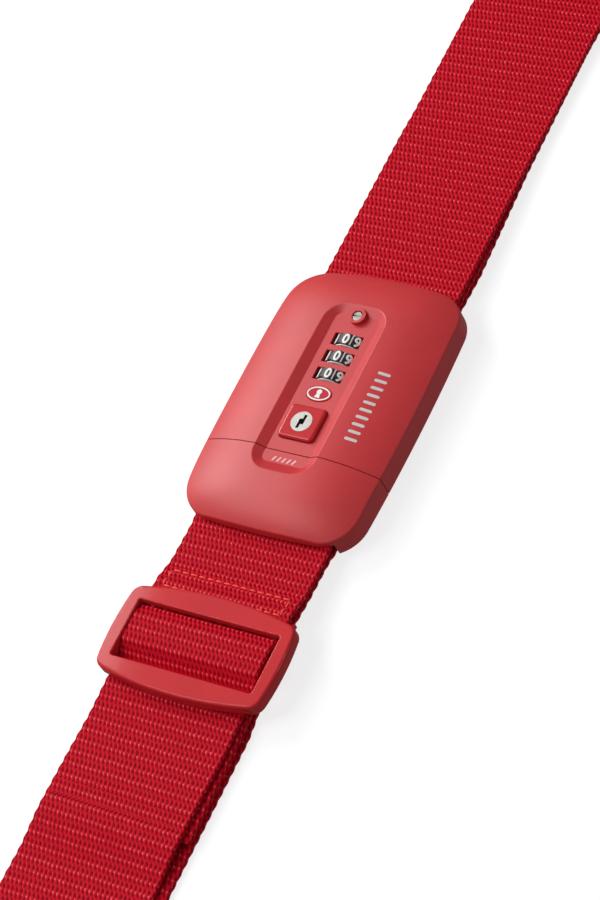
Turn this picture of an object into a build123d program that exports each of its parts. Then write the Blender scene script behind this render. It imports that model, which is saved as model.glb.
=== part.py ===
from build123d import *
import os

# Luggage strap: wide webbing, a two-half three-dial lock buckle and a slider, lying flat as a closed loop.
# +Y runs along the strap towards the lock's main half, +X is to the right and +Z is up. The origin is on
# the surface that the strap rests on, in the middle of the whole object. Sizes are millimetres.

# ---- Driving dimensions ----
KEY_Y = -28.5  # the key cylinder's axis, which the other places along the strap are counted from
WEB_WIDTH = 50.0
WEB_THICK = 1.6
LAYER_GAP = 0.15  # air between two layers of webbing that lie on each other
FOLD_Y = KEY_Y - 190.0  # outer face of the lower fold
ROLL_RADIUS = 25.0
ROLL_Y = KEY_Y + 222.0

BUCKLE_WIDTH = 64.2
BUCKLE_LOW_Y = KEY_Y - 36.5
BUCKLE_HIGH_Y = KEY_Y + 58.0
SPLIT_Y = KEY_Y - 10.7
SPLIT_GAP = 0.3
WALL = 1.8
WALL_BOTTOM_Z = 2.9
CROWN_Z = 16.4
CROWN_DROP = 6.4  # from the crown down to the crease above the side wall
SIDE_BOW = 1.4  # how far the long sides bow outwards
END_BOW = 1.6
CREASE_RADIUS = 0.8
RIM_RADIUS = 0.7  # where the channel's sides meet the dome
CORNER_RADIUS = 12.0  # at the buckle's four corners, in plan

CHANNEL_FLOOR_Z = 14.4
CHANNEL_FLOOR_THICK = 1.2
CHANNEL_LOW_Y = KEY_Y - 19.0
CHANNEL_HIGH_Y = KEY_Y + 45.0
CHANNEL_WIDTH = 24.0  # at the crown
CHANNEL_SLOPE = 4.0  # how much narrower the floor is on each side

BASE_Z = 1.9
BASE_THICK = 0.95
BASE_CLEARANCE = 0.25  # around the base plates, inside the cover's walls

DIAL_PITCH = 6.55
DIAL_YS = [KEY_Y + 18.5 + n * DIAL_PITCH for n in range(3)]
DIAL_RADIUS = 6.4
DIAL_Z = 9.0
WINDOW = (10.4, 4.5)
SPINDLE_RADIUS = 1.5
SLEEVE_RADIUS = 3.5
RUNNING_GAP = 0.06
FIN = (1.2, 1.4, 0.55)  # on each sleeve: outwards, around and along the spindle

BUTTON = (12.8, 12.0)
BUTTON_TOP_Z = 15.8
BUTTON_CORNER = 1.6
PLUG_RADIUS = 3.57
CASE_RADIUS = 4.6

RESET_Y = KEY_Y + 40.3
RESET_HEAD_RADIUS = 1.7
RESET_BOSS_RADIUS = 2.8
BADGE = (4.5, 2.8)
BADGE_Y = KEY_Y + 11.3

BAR_THICK = 1.6
STRAP_BAR_Z = 5.1
MAIN_BAR_Y = KEY_Y + 49.0
INSERT_BAR_Y = KEY_Y - 30.0
STRAP_BAR_WIDTH = 4.0
STRAP_BAR_LENGTH = 57.0
HOLDER_X = (26.3, 30.9)  # the bosses that hold a strap bar's ends
HOLDER_Z = (3.2, 9.2)
STRAP_SLOT_Z = 7.8  # underside of the thin lip that the webbing comes out under

PRONG_X = (14.0, 22.0)
PRONG_Z = (7.2, 9.2)
PRONG_TIP_Y = KEY_Y + 15.0

SLIDER_Y = KEY_Y - 78.0
SLIDER = (61.0, 34.5, 4.7)
SLIDER_SIDE = 28.0  # length of its bowed sides, which stand out by SLIDER_BOW
SLIDER_BOW = 1.2
SLIDER_BOTTOM_Z = 6.3
SLIDER_WINDOW = (51.2, 19.8)
CENTRE_BAR = (5.0, 2.3)
HOOD = (11.4, 20.6)  # the hollow under the upper crossbar, from the slider's middle
NOTCHES, NOTCH_PITCH, NOTCH = 11, 4.55, (2.1, 1.9)  # along the lower edge of the hood's wall
SLIDER_TOP_Z = SLIDER_BOTTOM_Z + SLIDER[2]
TAB_BAR_Y = KEY_Y - 63.2
TAB_BAR_WIDTH = 2.4
TAB_BAR_Z = 7.1
HOOD_Z = 9.7

BUCKLE_MID_Y = (BUCKLE_LOW_Y + BUCKLE_HIGH_Y) / 2
BASE_TOP_Z = BASE_Z + BASE_THICK
SCREW_X = 26.5
SCREW_HEAD_RADIUS = 1.9
SCREW_HEAD_HEIGHT = 0.7
SCREW_RADIUS = 0.95
SCREW_LENGTH = 6.5
SCREW_BOSS = (2.4, 8.8)
SCREW_HOLE = 0.25  # how much wider than the screw its hole in a base plate is
MAIN_SCREWS = [(side * SCREW_X, KEY_Y + y) for side in (-1, 1) for y in (-5.0, 36.0)]
INSERT_SCREWS = [(side * SCREW_X, KEY_Y - 17.5) for side in (-1, 1)]
STANDING = (Align.CENTER, Align.CENTER, Align.MIN)

os.makedirs("parts", exist_ok=True)


def write(piece, name):
    """Labels a finished piece and writes it as its node's STEP."""
    piece.label = name
    export_step(piece, f"parts/{name}.step")


def crown_height(x, y):
    """Height of the buckle's domed top: flat in the middle, rolling over towards the crease."""
    across = abs(x / 33.5) ** 2.8
    along = abs((y - BUCKLE_MID_Y) / 48.2) ** 7
    return CROWN_Z - CROWN_DROP * (across + along)


def under_dome(drop):
    """The solid below the domed top, lowered by drop."""
    columns = [-34 + 4 * i for i in range(18)]
    rows = [BUCKLE_MID_Y - 49 + 3.5 * j for j in range(29)]
    grid = [[Vector(x, y, crown_height(x, y) - drop) for y in rows] for x in columns]
    top = Face.make_surface_from_array_of_points(grid, tol=0.005)
    return extrude(top, amount=30, dir=(0, 0, -1), mode=Mode.PRIVATE)


def buckle_block(inset, bottom_z, top_z, y_from, y_to):
    """A stretch of the buckle's outline, drawn in by inset, between two heights and under the dome."""
    side = BUCKLE_WIDTH / 2 - inset
    low_end, high_end = BUCKLE_LOW_Y + inset, BUCKLE_HIGH_Y - inset
    x, low, high = side - SIDE_BOW, low_end + END_BOW, high_end - END_BOW
    with BuildPart() as block:
        with BuildSketch(Plane.XY.offset(bottom_z)) as outline:
            with BuildLine():
                ThreePointArc((x, low), (side, BUCKLE_MID_Y), (x, high))
                ThreePointArc((x, high), (0, high_end), (-x, high))
                ThreePointArc((-x, high), (-side, BUCKLE_MID_Y), (-x, low))
                ThreePointArc((-x, low), (0, low_end), (x, low))
            make_face()
            fillet(outline.vertices(), CORNER_RADIUS - inset)
        extrude(amount=top_z - bottom_z)
        add(under_dome(inset), mode=Mode.INTERSECT)
        if inset == 0:
            above = block.edges().filter_by(lambda e: e.center().Z > WALL_BOTTOM_Z + 1)
            crease = above.filter_by(lambda e: abs((e % 0.5).Z) < 0.5)
            fillet(crease, CREASE_RADIUS)
        with Locations((0, (y_from + y_to) / 2, 0)):
            Box(2 * BUCKLE_WIDTH, y_to - y_from, 100, mode=Mode.INTERSECT)
    return block.part


def channel_cutter():
    """The long rounded recess down the middle of the buckle, with sloping sides."""
    floor_size = (CHANNEL_WIDTH - 2 * CHANNEL_SLOPE, CHANNEL_HIGH_Y - CHANNEL_LOW_Y - 2 * CHANNEL_SLOPE)
    middle = (0, (CHANNEL_HIGH_Y + CHANNEL_LOW_Y) / 2)
    with BuildPart() as cutter:
        for share, corner in ((0, 2.0), (1.5, 11.0)):  # the cutter runs on past the crown
            spread = 2 * CHANNEL_SLOPE * share
            with BuildSketch(Plane.XY.offset(CHANNEL_FLOOR_Z + share * (CROWN_Z - CHANNEL_FLOOR_Z))):
                with Locations(middle):
                    RectangleRounded(floor_size[0] + spread, floor_size[1] + spread, corner)
        loft()
    return cutter.part


def channel_rim(cover):
    """The edges where the channel's sloping sides meet a cover's dome."""
    half_x = CHANNEL_WIDTH / 2 + 2
    inside = cover.edges().filter_by(
        lambda e: e.center().Z > CHANNEL_FLOOR_Z + 0.6
        and abs(e.center().X) < half_x
        and CHANNEL_LOW_Y - 3 < e.center().Y < CHANNEL_HIGH_Y + 3
    )
    return inside.filter_by(lambda e: abs(e.center().Y - SPLIT_Y) > SPLIT_GAP)


def screw_bosses(places):
    """The bosses inside a cover that take the screws of its base plate, each with its hole."""
    with BuildPart() as bosses:
        with BuildSketch(Plane.XY.offset(BASE_TOP_Z + 0.1)):
            with Locations(places):
                Circle(SCREW_BOSS[0])
        extrude(amount=SCREW_BOSS[1])
        with Locations([(x, y, BASE_Z) for x, y in places]):
            Cylinder(SCREW_RADIUS + RUNNING_GAP, SCREW_LENGTH + 0.3, align=STANDING, mode=Mode.SUBTRACT)
    return bosses.part


def bar_holders(block, bar_y):
    """The two bosses inside a cover that hold its strap bar's ends, cut off where the cover's outside is."""
    with BuildPart() as holders:
        with Locations([(side * sum(HOLDER_X) / 2, bar_y, sum(HOLDER_Z) / 2) for side in (-1, 1)]):
            Box(HOLDER_X[1] - HOLDER_X[0], STRAP_BAR_WIDTH + 2.4, HOLDER_Z[1] - HOLDER_Z[0])
        add(block, mode=Mode.INTERSECT)
        with Locations((0, bar_y, STRAP_BAR_Z)):
            Box(STRAP_BAR_LENGTH + 0.1, STRAP_BAR_WIDTH + 0.1, BAR_THICK + 0.1, mode=Mode.SUBTRACT)
    return holders.part


def strap_bar(bar_y):
    """A flat steel bar that webbing is looped round."""
    with BuildPart() as bar:
        with Locations((0, bar_y, STRAP_BAR_Z)):
            Box(STRAP_BAR_LENGTH, STRAP_BAR_WIDTH, BAR_THICK)
        fillet(bar.edges().filter_by(Axis.X), 0.7)
    return bar.part


def base_screws(places):
    """Pan-head screws that hold a base plate up against the cover's bosses."""
    with BuildPart() as screws:
        with Locations([(x, y, BASE_Z) for x, y in places]):
            Cylinder(SCREW_HEAD_RADIUS, SCREW_HEAD_HEIGHT, align=STANDING)
            Cylinder(SCREW_RADIUS, SCREW_LENGTH, align=STANDING)
    return screws.part


def screw_holes(plate, places):
    """A base plate with a hole and a recess for each of its screws."""
    with BuildPart() as drilled:
        add(plate)
        with Locations([(x, y, BASE_Z) for x, y in places]):
            Cylinder(SCREW_RADIUS + SCREW_HOLE, 8, mode=Mode.SUBTRACT)
            Cylinder(SCREW_HEAD_RADIUS + 0.2, 2 * SCREW_HEAD_HEIGHT, mode=Mode.SUBTRACT)
    return drilled.part


def coil_spring(place, radius, wire, height, turns):
    """A round-wire coil spring that starts at place."""
    with BuildPart() as spring:
        with BuildLine():
            coil = Helix(pitch=height / turns, height=height, radius=radius, center=place)
        with BuildSketch(Plane(origin=coil @ 0, z_dir=coil % 0)):
            Circle(wire / 2)
        sweep()
    return spring.part


def webbing_band(path, radius):
    """A band of webbing lying across X, whose mid-thickness follows path, a list of (y, z)."""
    with BuildPart() as band:
        with BuildSketch(Plane.YZ.offset(-WEB_WIDTH / 2)):
            with BuildLine():
                FilletPolyline(*path, radius=radius)
            trace(line_width=WEB_THICK)
        extrude(amount=WEB_WIDTH)
    return band.part


# ---- Main half's cover: dome, channel, dial windows, button opening and strap slot ----
MAIN_LOW_Y = SPLIT_Y + SPLIT_GAP / 2
INSERT_HIGH_Y = SPLIT_Y - SPLIT_GAP / 2
CAVITY_TOP_Z = CHANNEL_FLOOR_Z - CHANNEL_FLOOR_THICK

channel = channel_cutter()
main_block = buckle_block(0, WALL_BOTTOM_Z, CROWN_Z + 1, MAIN_LOW_Y, BUCKLE_HIGH_Y + 1)
main_cavity = buckle_block(WALL, 0, CAVITY_TOP_Z, MAIN_LOW_Y + WALL, BUCKLE_HIGH_Y)
main_bosses = screw_bosses(MAIN_SCREWS)
main_holders = bar_holders(main_block, MAIN_BAR_Y)

with BuildPart() as lock_cover:
    add(main_block)
    add(main_cavity, mode=Mode.SUBTRACT)
    add(main_bosses)
    add(main_holders)
    # the prongs' openings in the end wall and the webbing's slot under the far lip
    with Locations([(side * sum(PRONG_X) / 2, MAIN_LOW_Y + 1, sum(PRONG_Z) / 2) for side in (-1, 1)]):
        Box(PRONG_X[1] - PRONG_X[0] + 0.8, 4, PRONG_Z[1] - PRONG_Z[0] + 0.6, mode=Mode.SUBTRACT)
    with Locations((0, BUCKLE_HIGH_Y, 0)):
        Box(WEB_WIDTH + 1.6, 18, 2 * STRAP_SLOT_Z, mode=Mode.SUBTRACT)
    # the channel with its raised screw boss
    add(channel, mode=Mode.SUBTRACT)
    fillet(channel_rim(lock_cover), RIM_RADIUS)
    with Locations((0, RESET_Y, CAVITY_TOP_Z)):
        Cylinder(RESET_BOSS_RADIUS, 2.7, align=STANDING)
        Cylinder(RESET_HEAD_RADIUS + 0.1, 9, mode=Mode.SUBTRACT)
    with Locations([(0, y, CHANNEL_FLOOR_Z) for y in DIAL_YS]):
        Box(*WINDOW, 5, mode=Mode.SUBTRACT)
    with BuildSketch(Plane.XY.offset(CAVITY_TOP_Z - 1)):
        with Locations((0, KEY_Y)):
            RectangleRounded(BUTTON[0] + 0.5, BUTTON[1] + 0.5, BUTTON_CORNER + 0.25)
    extrude(amount=4, mode=Mode.SUBTRACT)
    with BuildSketch(Plane.XY.offset(CHANNEL_FLOOR_Z - 0.5)):
        with Locations((0, BADGE_Y)):
            Ellipse(BADGE[0] + 0.1, BADGE[1] + 0.1)
    extrude(amount=2, mode=Mode.SUBTRACT)
write(lock_cover.part, "lock_cover")

with BuildPart() as emblem_badge:
    with BuildSketch(Plane.XY.offset(CHANNEL_FLOOR_Z - 0.5)):
        with Locations((0, BADGE_Y)):
            Ellipse(*BADGE)
    extrude(amount=0.75)
write(emblem_badge.part, "emblem_badge")

# ---- Main half's base plate, with the spindle brackets, latch guides and spring post ----
BRACKET_YS = (DIAL_YS[0] - 4.3, DIAL_YS[2] + 4.3)
LATCH_Z = (7.5, 9.0)
LATCH_X = (8.4, 13.6)

main_plate = buckle_block(WALL + BASE_CLEARANCE, BASE_Z, BASE_TOP_Z, MAIN_LOW_Y + 0.1, MAIN_BAR_Y - 5)
main_plate = screw_holes(main_plate, MAIN_SCREWS)

with BuildPart() as lock_base:
    add(main_plate)
    with Locations([(0, y, BASE_TOP_Z) for y in BRACKET_YS]):
        Box(8, 1.4, 9, align=STANDING)
    with Locations([(side * 11.2, KEY_Y, BASE_TOP_Z) for side in (-1, 1)]):
        Box(4.4, 13, 4.4, align=STANDING)
    with Locations([(side * 11.2, KEY_Y + end * 5.9, BASE_TOP_Z) for side in (-1, 1) for end in (-1, 1)]):
        Box(4.4, 1.2, 6.4, align=STANDING)
    with Locations((-8.0, DIAL_YS[1], BASE_TOP_Z)):
        Box(1.2, 20, 7, align=STANDING)
    with Locations([(0, y, BASE_Z + 0.5) for y in DIAL_YS]):
        Box(9, 4.9, 4, align=STANDING, mode=Mode.SUBTRACT)
    with BuildSketch(Plane.XZ.offset(-BRACKET_YS[0] + 2)):
        with Locations((0, DIAL_Z)):
            Circle(SPINDLE_RADIUS + RUNNING_GAP)
    extrude(amount=-30, mode=Mode.SUBTRACT)
write(lock_base.part, "lock_base")
write(base_screws(MAIN_SCREWS), "base_screws")
write(strap_bar(MAIN_BAR_Y), "strap_bar_main")

# ---- Combination dials on their spindle ----
with BuildPart() as dial_spindle:
    with BuildSketch(Plane.XZ.offset(-(BRACKET_YS[0] - 1.2))):
        with Locations((0, DIAL_Z)):
            Circle(SPINDLE_RADIUS)
    extrude(amount=-(BRACKET_YS[1] - BRACKET_YS[0] + 3.4))
write(dial_spindle.part, "dial_spindle")

for number, dial_y in enumerate(DIAL_YS, start=1):
    # a black wheel with ten digit places, its edges scalloped between them
    wheel_low_y, wheel_high_y = dial_y - 1.75, dial_y + 2.1
    with BuildPart() as dial:
        with BuildSketch(Plane.XZ.offset(-wheel_low_y)):
            with Locations((0, DIAL_Z)):
                Circle(DIAL_RADIUS)
                Circle(SLEEVE_RADIUS + RUNNING_GAP, mode=Mode.SUBTRACT)
        extrude(amount=-(wheel_high_y - wheel_low_y))
        for edge_y in (wheel_low_y, wheel_high_y - 0.45):
            with BuildSketch(Plane.XZ.offset(-edge_y)):
                with Locations((0, DIAL_Z)):
                    with PolarLocations(DIAL_RADIUS + 0.5, 10, start_angle=90 + 18):
                        Circle(0.95)
            extrude(amount=-0.45, mode=Mode.SUBTRACT)
    write(dial.part, f"dial_{number}")

    # a pale sleeve inside each wheel, with a flange beside the wheel and a fin that the lock reads
    with BuildPart() as sleeve:
        with BuildSketch(Plane.XZ.offset(-(dial_y - 2.15))):
            with Locations((0, DIAL_Z)):
                Circle(DIAL_RADIUS - 0.5)
        extrude(amount=-0.35)
        with BuildSketch(Plane.XZ.offset(-(dial_y - 2.15))):
            with Locations((0, DIAL_Z)):
                Circle(SLEEVE_RADIUS)
        extrude(amount=-5.0)
        with BuildSketch(Plane.XZ.offset(-(dial_y + 2.3))):
            with Locations((SLEEVE_RADIUS - 0.1, DIAL_Z)):
                Rectangle(FIN[0], FIN[1])
        extrude(amount=-FIN[2])
        with BuildSketch(Plane.XZ.offset(-(dial_y - 3))):
            with Locations((0, DIAL_Z)):
                Circle(SPINDLE_RADIUS + RUNNING_GAP)
        extrude(amount=-7, mode=Mode.SUBTRACT)
    write(sleeve.part, f"dial_sleeve_{number}")

with BuildPart() as detent_spring:
    # a leaf with one finger for each wheel, clamped along its lower edge
    with Locations((-7.1, DIAL_YS[1], BASE_TOP_Z)):
        Box(0.3, 19, 2.0, align=STANDING)
    with Locations([(-7.1, y, BASE_TOP_Z + 2.0) for y in DIAL_YS]):
        Box(0.3, 2.4, 6.0, align=STANDING)
write(detent_spring.part, "detent_spring")

with BuildPart() as reset_screw:
    with Locations((0, RESET_Y, 0)):
        with Locations((0, 0, CHANNEL_FLOOR_Z - 0.1)):
            Cylinder(RESET_HEAD_RADIUS, 1.3, align=STANDING)
        with Locations((0, 0, 8.2)):
            Cylinder(1.1, 6.5, align=STANDING)
        with Locations((0, 0, CHANNEL_FLOOR_Z + 1.2)):
            Box(4, 0.55, 1.2, mode=Mode.SUBTRACT)
    fillet(reset_screw.edges().filter_by(GeomType.CIRCLE).group_by(Axis.Z)[-1], 0.25)
write(reset_screw.part, "reset_screw")

# ---- Release button with the key cylinder in it ----
FLANGE_TOP_Z = CAVITY_TOP_Z - 0.3
FLANGE_BOTTOM_Z = FLANGE_TOP_Z - 0.9

with BuildPart() as push_button:
    with BuildSketch(Plane.XY.offset(8.0)):
        with Locations((0, KEY_Y)):
            RectangleRounded(*BUTTON, BUTTON_CORNER)
    extrude(amount=BUTTON_TOP_Z - 8.0)
    fillet(push_button.edges().group_by(Axis.Z)[-1], 0.9)
    with BuildSketch(Plane.XY.offset(FLANGE_BOTTOM_Z)):
        with Locations((0, KEY_Y)):
            RectangleRounded(BUTTON[0] + 1.6, BUTTON[1] + 4.4, 1.0)
    extrude(amount=FLANGE_TOP_Z - FLANGE_BOTTOM_Z)
    with Locations((0, KEY_Y, 0)):
        Cylinder(CASE_RADIUS + 0.02, BUTTON_TOP_Z - 0.8, align=STANDING,
                 mode=Mode.SUBTRACT)
        Cylinder(PLUG_RADIUS + 0.05, 20, align=STANDING, mode=Mode.SUBTRACT)
write(push_button.part, "push_button")

with BuildPart() as key_cylinder_case:
    with Locations((0, KEY_Y, 7.4)):
        Cylinder(CASE_RADIUS, BUTTON_TOP_Z - 0.85 - 7.4, align=STANDING)
        Cylinder(PLUG_RADIUS + 0.05, 30, mode=Mode.SUBTRACT)
write(key_cylinder_case.part, "key_cylinder_case")

with BuildPart() as key_plug:
    with Locations((0, KEY_Y, 7.0)):
        Cylinder(PLUG_RADIUS, BUTTON_TOP_Z + 0.05 - 7.0, align=STANDING)
    # the keyway is a stepped slot: a thick middle with a thinner end on each side
    with BuildSketch(Plane.XY.offset(BUTTON_TOP_Z - 4)):
        with Locations((0, KEY_Y)):
            Rectangle(2.0, 1.9)
        with Locations((0.55, KEY_Y + 1.55), (-0.55, KEY_Y - 1.55)):
            Rectangle(0.95, 1.9)
    extrude(amount=5, mode=Mode.SUBTRACT)
write(key_plug.part, "key_plug")

with BuildPart() as key_cam:
    with Locations((0, KEY_Y, 5.8)):
        Cylinder(3.0, 1.2, align=STANDING)
    with Locations((0, KEY_Y + 2.2, 5.8)):
        Box(2.0, 4.4, 1.2, align=STANDING)
write(key_cam.part, "key_cam")

with BuildPart() as release_plate:
    # an arm from the button's flange that reaches past the dials' fins
    with Locations((6.95, KEY_Y + 6.6, FLANGE_BOTTOM_Z)):
        Box(0.8, 2.2, 6.0, align=(Align.CENTER, Align.CENTER, Align.MAX))
    with Locations((6.95, KEY_Y + 20.6, FLANGE_BOTTOM_Z - 6.0)):
        Box(0.8, 30.2, 1.6, align=STANDING)
write(release_plate.part, "release_plate")

SPRING_PLACES = ((-4.0, -7.15), (4.0, -7.15))
SPRING_LENGTH = FLANGE_BOTTOM_Z - BASE_TOP_Z - 0.9
springs = [
    coil_spring((x, KEY_Y + y, BASE_TOP_Z + 0.2), 1.0, 0.35, SPRING_LENGTH, 6)
    for x, y in SPRING_PLACES
]
write(Compound(children=springs), "button_springs")

for side, name in ((-1, "latch_left"), (1, "latch_right")):
    with BuildPart() as latch:
        with Locations((side * sum(LATCH_X) / 2, KEY_Y, LATCH_Z[0])):
            Box(LATCH_X[1] - LATCH_X[0], 10, LATCH_Z[1] - LATCH_Z[0] - 0.1,
                align=STANDING)
        nose = latch.edges().filter_by(Axis.Z).group_by(Axis.X)[-1 if side > 0 else 0]
        chamfer(nose, 1.2)
    write(latch.part, name)

# ---- Insert half: cover, base plate, forked tongue and strap bar ----
insert_block = buckle_block(0, WALL_BOTTOM_Z, CROWN_Z + 1, BUCKLE_LOW_Y - 1, INSERT_HIGH_Y)
insert_cavity = buckle_block(WALL, 0, CAVITY_TOP_Z, BUCKLE_LOW_Y, INSERT_HIGH_Y - WALL)
insert_bosses = screw_bosses(INSERT_SCREWS)
insert_holders = bar_holders(insert_block, INSERT_BAR_Y)

with BuildPart() as insert_cover:
    add(insert_block)
    add(insert_cavity, mode=Mode.SUBTRACT)
    add(insert_bosses)
    add(insert_holders)
    with Locations((0, INSERT_HIGH_Y, sum(PRONG_Z) / 2)):
        Box(2 * PRONG_X[1] + 0.2, 4, PRONG_Z[1] - PRONG_Z[0] + 0.1, mode=Mode.SUBTRACT)
    with Locations((0, BUCKLE_LOW_Y, 0)):
        Box(WEB_WIDTH + 1.6, 18, 2 * STRAP_SLOT_Z, mode=Mode.SUBTRACT)
    add(channel, mode=Mode.SUBTRACT)
    fillet(channel_rim(insert_cover), RIM_RADIUS)
write(insert_cover.part, "insert_cover")

insert_plate = buckle_block(WALL + BASE_CLEARANCE, BASE_Z, BASE_TOP_Z, KEY_Y - 25.5, INSERT_HIGH_Y - 0.1)

write(screw_holes(insert_plate, INSERT_SCREWS), "insert_base")
write(base_screws(INSERT_SCREWS), "insert_screws")
write(strap_bar(INSERT_BAR_Y), "strap_bar_insert")

with BuildPart() as insert_tongue:
    # a plate across the insert half with two prongs that enter the lock, notched for the latches
    with BuildSketch(Plane.XY.offset(PRONG_Z[0])):
        with Locations((0, (KEY_Y - 24.0 + INSERT_HIGH_Y) / 2)):
            Rectangle(2 * PRONG_X[1], INSERT_HIGH_Y - (KEY_Y - 24.0))
        with Locations([(side * sum(PRONG_X) / 2, (KEY_Y - 24.0 + PRONG_TIP_Y) / 2) for side in (-1, 1)]):
            Rectangle(PRONG_X[1] - PRONG_X[0], PRONG_TIP_Y - (KEY_Y - 24.0))
        with Locations([(side * PRONG_X[0], KEY_Y) for side in (-1, 1)]):
            Rectangle(4.0, 7.0, mode=Mode.SUBTRACT)
    extrude(amount=PRONG_Z[1] - PRONG_Z[0])
    tips = insert_tongue.edges().filter_by(Axis.Z).group_by(Axis.Y)[-1]
    fillet(tips, 2.5)
write(insert_tongue.part, "insert_tongue")

# ---- Slider frame: hooded upper crossbar with the tab bar under it, and a centre bar ----
with BuildPart() as slider_frame:
    half_x, half_y = SLIDER[0] / 2, SLIDER[1] / 2
    side_x, low_y, high_y = half_x - SLIDER_BOW, SLIDER_Y - SLIDER_SIDE / 2, SLIDER_Y + SLIDER_SIDE / 2
    with BuildSketch(Plane.XY.offset(SLIDER_BOTTOM_Z)) as slider_outline:
        with BuildLine():
            ThreePointArc((side_x, low_y), (half_x, SLIDER_Y), (side_x, high_y))
            ThreePointArc((side_x, high_y), (0, SLIDER_Y + half_y), (-side_x, high_y))
            ThreePointArc((-side_x, high_y), (-half_x, SLIDER_Y), (-side_x, low_y))
            ThreePointArc((-side_x, low_y), (0, SLIDER_Y - half_y), (side_x, low_y))
        make_face()
        fillet(slider_outline.vertices(), 4.0)
    extrude(amount=SLIDER[2])
    fillet(slider_frame.edges().group_by(Axis.Z)[-1], 1.0)
    fillet(slider_frame.edges().group_by(Axis.Z)[0], 0.8)
    with BuildSketch(Plane.XY.offset(SLIDER_BOTTOM_Z)):
        with Locations((0, SLIDER_Y)):
            RectangleRounded(*SLIDER_WINDOW, 0.8)
    extrude(amount=SLIDER[2], mode=Mode.SUBTRACT)
    rim = slider_frame.edges().filter_by(lambda e: abs(e.center().Z - SLIDER_TOP_Z) < 0.01)
    window_x, window_y = SLIDER_WINDOW[0] / 2 + 0.1, SLIDER_WINDOW[1] / 2 + 0.1
    window_rim = [e for e in rim if abs(e.center().X) < window_x and abs(e.center().Y - SLIDER_Y) < window_y]
    fillet(window_rim, 0.45)
    with Locations((0, SLIDER_Y, SLIDER_BOTTOM_Z)):
        Box(SLIDER_WINDOW[0] + 1, *CENTRE_BAR, align=STANDING)
    with Locations((0, SLIDER_Y + sum(HOOD) / 2, SLIDER_BOTTOM_Z)):
        Box(WEB_WIDTH + 1.2, HOOD[1] - HOOD[0], HOOD_Z - SLIDER_BOTTOM_Z, align=STANDING, mode=Mode.SUBTRACT)
    with Locations((0, SLIDER_Y + HOOD[0], SLIDER_BOTTOM_Z)):
        with GridLocations(NOTCH_PITCH, 1, NOTCHES, 1):
            Box(NOTCH[0], 2 * HOOD[0] - SLIDER_WINDOW[1] + 0.4, NOTCH[1], align=STANDING, mode=Mode.SUBTRACT)
    with Locations((0, TAB_BAR_Y, TAB_BAR_Z)):
        Box(WEB_WIDTH + 3, TAB_BAR_WIDTH, BAR_THICK)
write(slider_frame.part, "slider_frame")

# ---- Short sewn tab between the insert half and the slider: two plies looped round their bars ----
with BuildPart() as buckle_tab:
    with BuildSketch(Plane.YZ.offset(-WEB_WIDTH / 2)) as tab_side:
        with BuildLine():
            upper = [(3.8, 7.6), (-3.5, 7.6), (-8.0, 6.9), (-22.0, 7.3), (-29.5, 9.5), (-35.9, 9.5)]
            lower = [(-35.9, 4.7), (-30.0, 4.7), (-22.0, 4.0), (-8.0, 3.6), (-3.5, 2.6), (3.8, 2.6)]
            Polyline(*[(INSERT_BAR_Y + y, z) for y, z in upper + lower], close=True)
        make_face()
        ends = tab_side.vertices().group_by(Axis.X)
        fillet(ends[0] + ends[-1], 1.9)
    extrude(amount=WEB_WIDTH)
    with Locations((0, INSERT_BAR_Y, STRAP_BAR_Z)):
        Box(80, STRAP_BAR_WIDTH + 0.2, BAR_THICK + 0.2, mode=Mode.SUBTRACT)
    with Locations((0, TAB_BAR_Y, TAB_BAR_Z)):
        Box(80, TAB_BAR_WIDTH + 0.2, BAR_THICK + 0.2, mode=Mode.SUBTRACT)
write(buckle_tab.part, "buckle_tab")

with BuildPart() as tab_stitching:
    # two rows of thread across the tab, where it rises into the slider
    for row_y, row_z in ((KEY_Y - 55.0, 8.27), (KEY_Y - 58.3, 9.24)):
        with Locations([(-21.6 + 3.6 * n, row_y, row_z) for n in range(13)]):
            Box(2.2, 0.5, 0.35, align=STANDING)
write(tab_stitching.part, "tab_stitching")

# ---- The long webbing, split where it crosses from one half of the buckle to the other ----
LAYER_Z = [WEB_THICK / 2 + n * (WEB_THICK + LAYER_GAP) for n in range(3)]
ROLL_ENTRY_Y = KEY_Y + 209.0
FOLD_MID_Y = FOLD_Y + WEB_THICK + LAYER_GAP / 2

with BuildPart() as webbing_upper:
    # hemmed round the main half's bar, then down on to the return layer and out to the roll
    with BuildSketch(Plane.YZ.offset(-WEB_WIDTH / 2)) as hem_side:
        with BuildLine():
            top = [(-3.8, 7.6), (3.5, 7.6), (9.0, 6.9), (33.0, 5.7), (79.0, 3.35), (160.0, 3.35)]
            under = [(160.0, 1.75), (79.0, 1.75), (33.0, 4.05)]
            hem = [(33.0, 2.6), (9.0, 3.7), (3.5, 2.6), (-3.8, 2.6)]
            Polyline(*[(MAIN_BAR_Y + y, z) for y, z in top + under + hem], close=True)
        make_face()
        fillet(hem_side.vertices().group_by(Axis.X)[0], 1.9)
    extrude(amount=WEB_WIDTH)
    with Locations((0, MAIN_BAR_Y, STRAP_BAR_Z)):
        Box(80, STRAP_BAR_WIDTH + 0.2, BAR_THICK + 0.2, mode=Mode.SUBTRACT)
write(webbing_upper.part, "webbing_upper")

with BuildPart() as webbing_return_upper:
    with Locations((0, (KEY_Y + 0.15 + ROLL_ENTRY_Y) / 2, 0)):
        Box(WEB_WIDTH, ROLL_ENTRY_Y - KEY_Y - 0.15, WEB_THICK, align=STANDING)
write(webbing_return_upper.part, "webbing_return_upper")

with BuildPart() as webbing_roll:
    with BuildSketch(Plane.YZ.offset(-WEB_WIDTH / 2)):
        with Locations((ROLL_Y, ROLL_RADIUS)):
            Circle(ROLL_RADIUS)
    extrude(amount=WEB_WIDTH)
write(webbing_roll.part, "webbing_roll")

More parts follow.
